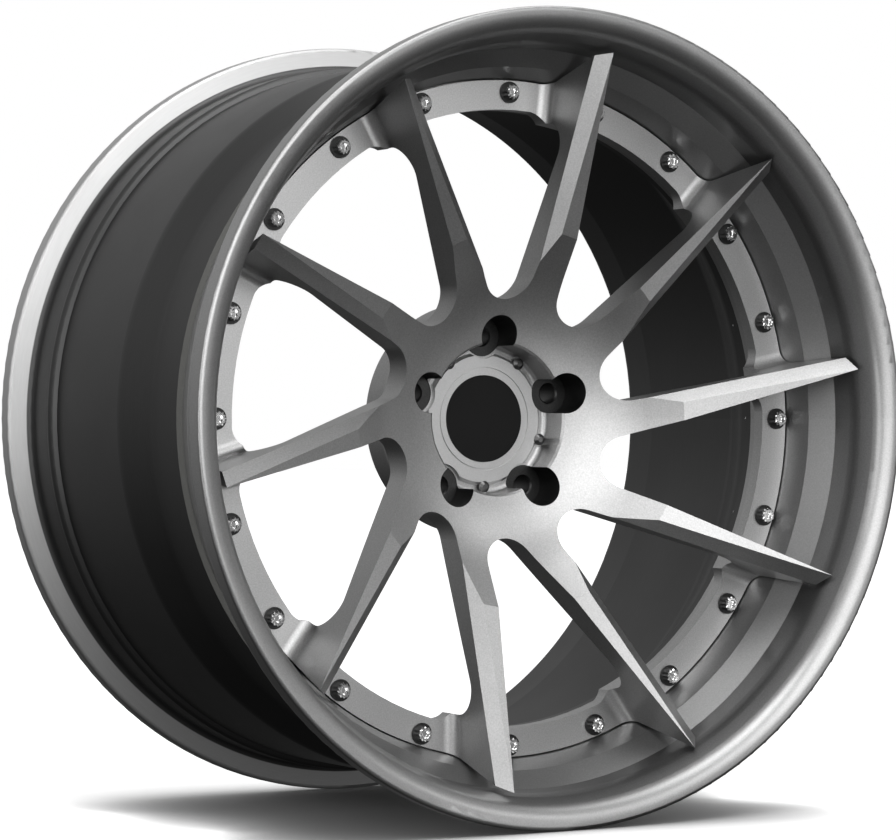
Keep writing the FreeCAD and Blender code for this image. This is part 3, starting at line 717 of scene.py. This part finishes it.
LIGHTS = (
    AreaLight("key_front", (-0.2, -2.6, 0.7), 2.6, 2.0, 39.0, on_matte=False),
    AreaLight("top_soft", (-0.2, -1.1, 2.2), 1.6, 1.2, 20.0, on_matte=True),
    AreaLight("left_front", (-2.3, -1.6, 0.3), 0.9, 1.8, 13.0, on_matte=False),
    AreaLight("high_right", (1.75, -1.85, 1.3), 0.9, 0.9, 4.6, on_matte=False),
    AreaLight("overhead", (0.8, 0.1, 2.4), 2.0, 1.6, 14.0, on_matte=False),
)


@dataclass(frozen=True)
class Surround:
    """Brightness of the surroundings by direction.

    Attributes:
        even: Brightness from everywhere.
        back: What the wall behind the wheel adds.
        sides: What the two side walls add.
        front: What the room in front adds at any height.
        below: Share that is left below the wheel.
        dusk: Downward slope where that share is reached.
    """

    even: float = 0.22
    back: float = 0.28
    sides: float = 0.16
    front: float = 0.09
    below: float = 0.06
    dusk: float = -0.45


class Studio:
    """The pale floor, the lights, the world and the camera.

    Attributes:
        FLOOR_HALF: Half of the floor's side, in metres.
        FLOOR_TONE: Linear brightness of the floor.
        FLOOR_ROUGHNESS: Roughness of the floor.
        FLOOR_GLOW: Light that the floor adds to the eye, so that it fades into the white.
        SHADE_REACH: Distance within which the painted contact shadow darkens that glow, in metres.
        SHADE_DEPTH: Power that deepens this painted shadow.
    """

    FLOOR_HALF = 14.0
    FLOOR_TONE = 0.80
    FLOOR_ROUGHNESS = 0.7
    FLOOR_GLOW = 0.90
    SHADE_REACH = 0.10
    SHADE_DEPTH = 5.0

    def build(self) -> None:
        """Build the whole studio."""
        self._floor()
        for light in LIGHTS:
            self._light(light)
        self._world(Surround())
        self._camera()
        bpy.context.scene.view_settings.view_transform = "Standard"

    def _floor(self) -> None:
        """Lay the floor under the wheel's flanges."""
        low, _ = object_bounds()
        half = self.FLOOR_HALF
        corners = [(-half, -half), (half, -half), (half, half), (-half, half)]
        mesh = bpy.data.meshes.new("studio_floor")
        mesh.from_pydata([(x, y, low[2]) for x, y in corners], [], [(0, 1, 2, 3)])
        mesh.materials.append(self._floor_material())
        floor = bpy.data.objects.new("studio_floor", mesh)
        bpy.context.scene.collection.objects.link(floor)
        floor.visible_glossy = False
        floor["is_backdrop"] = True

    def _floor_material(self) -> bpy.types.Material:
        """Make the pale floor, which glows to the eye except close to the wheel, where ambient
        occlusion paints a contact shadow into that glow.

        Returns:
            A new material.
        """
        material = bpy.data.materials.new("floor_pale")
        material.use_nodes = True
        tree = material.node_tree
        shader = tree.nodes["Principled BSDF"]
        shader.inputs["Base Color"].default_value = (*grey(self.FLOOR_TONE), 1.0)
        shader.inputs["Roughness"].default_value = self.FLOOR_ROUGHNESS
        shader.inputs["Emission Color"].default_value = WHITE
        # Painted contact shadow: ambient occlusion darkens the floor's glow close to the wheel.
        shade = tree.nodes.new("ShaderNodeAmbientOcclusion")
        shade.inputs["Distance"].default_value = self.SHADE_REACH
        seen = tree.nodes.new("ShaderNodeLightPath").outputs["Is Camera Ray"]
        painted_shadow = add_math(tree, "POWER", shade.outputs["AO"], self.SHADE_DEPTH)
        glow = add_math(tree, "MULTIPLY", seen, painted_shadow)
        glow = add_math(tree, "MULTIPLY", glow, self.FLOOR_GLOW)
        tree.links.new(glow, shader.inputs["Emission Strength"])
        return material

    @staticmethod
    def _light(light: AreaLight) -> None:
        """Hang one area light.

        Args:
            light: The light to hang.
        """
        data = bpy.data.lights.new(light.name, "AREA")
        data.shape = "RECTANGLE"
        data.size = light.width
        data.size_y = light.height
        data.energy = light.power
        lamp = bpy.data.objects.new(light.name, data)
        lamp.location = light.place
        heading = -Vector(light.place)
        lamp.rotation_euler = heading.to_track_quat("-Z", "Y").to_euler()
        lamp.visible_diffuse = light.on_matte
        bpy.context.scene.collection.objects.link(lamp)

    @staticmethod
    def _world(surround: Surround) -> None:
        """Set white surroundings to the eye and a soft gradient to all else.

        Args:
            surround: Brightness by direction.
        """
        world = bpy.data.worlds.new("studio_world")
        world.use_nodes = True
        tree = world.node_tree
        place = tree.nodes.new("ShaderNodeTexCoord")
        split = tree.nodes.new("ShaderNodeSeparateXYZ")
        tree.links.new(place.outputs["Generated"], split.inputs[0])
        side = add_math(tree, "ABSOLUTE", split.outputs["X"])
        behind = add_math(tree, "MAXIMUM", split.outputs["Y"], 0.0)
        glow = add_math(tree, "MULTIPLY_ADD", side, surround.sides, surround.even)
        glow = add_math(tree, "MULTIPLY_ADD", behind, surround.back, glow)
        height = add_ramp(tree, split.outputs["Z"], surround.dusk, -surround.dusk, surround.below)
        glow = add_math(tree, "MULTIPLY", glow, height)
        ahead = add_math(tree, "MULTIPLY", split.outputs["Y"], -1.0)
        ahead = add_math(tree, "MAXIMUM", ahead, 0.0)
        glow = add_math(tree, "MULTIPLY_ADD", ahead, surround.front, glow)
        path = tree.nodes.new("ShaderNodeLightPath")
        seen = add_math(tree, "MAXIMUM", glow, path.outputs["Is Camera Ray"])
        background = tree.nodes["Background"]
        background.inputs["Color"].default_value = WHITE
        tree.links.new(seen, background.inputs["Strength"])
        bpy.context.scene.world = world

    @staticmethod
    def _camera() -> None:
        """Set the camera at the photo's place and focal length."""
        data = bpy.data.cameras.new("photo_camera")
        data.sensor_fit = "HORIZONTAL"
        data.sensor_width = SENSOR_WIDTH_MM
        data.lens = SENSOR_WIDTH_MM * FOCAL_PX / PHOTO_WIDTH_PX
        camera = bpy.data.objects.new("photo_camera", data)
        camera.location = CAMERA_PLACE
        camera.rotation_euler = CAMERA_HEADING.to_track_quat("-Z", "Y").to_euler()
        bpy.context.scene.collection.objects.link(camera)
        bpy.context.scene.camera = camera


def dress_nodes(frame: dict, library: FinishLibrary) -> None:
    """Give every CAD node its finish.

    Args:
        frame: The loaded frame.
        library: Source of the materials.
    """
    for name, finish in NODE_FINISH.items():
        LOG.info("%s in %s", name, finish.name)
        thing = frame["nodes"][name]
        thing.data.materials.clear()
        thing.data.materials.append(library.get(finish))


def main() -> None:
    """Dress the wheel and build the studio."""
    logging.basicConfig(level=logging.INFO)
    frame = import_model()
    library = FinishLibrary()
    dress_nodes(frame, library)
    bolts = BoltRing(BoltShape(), "assembly_bolts").build(library.get(CHROME))
    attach(bolts, BODY)
    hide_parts("assembly_bolts")
    Studio().build()
    LOG.info("dressed %d nodes", len(NODE_FINISH))


if __name__ == "__main__":
    main()
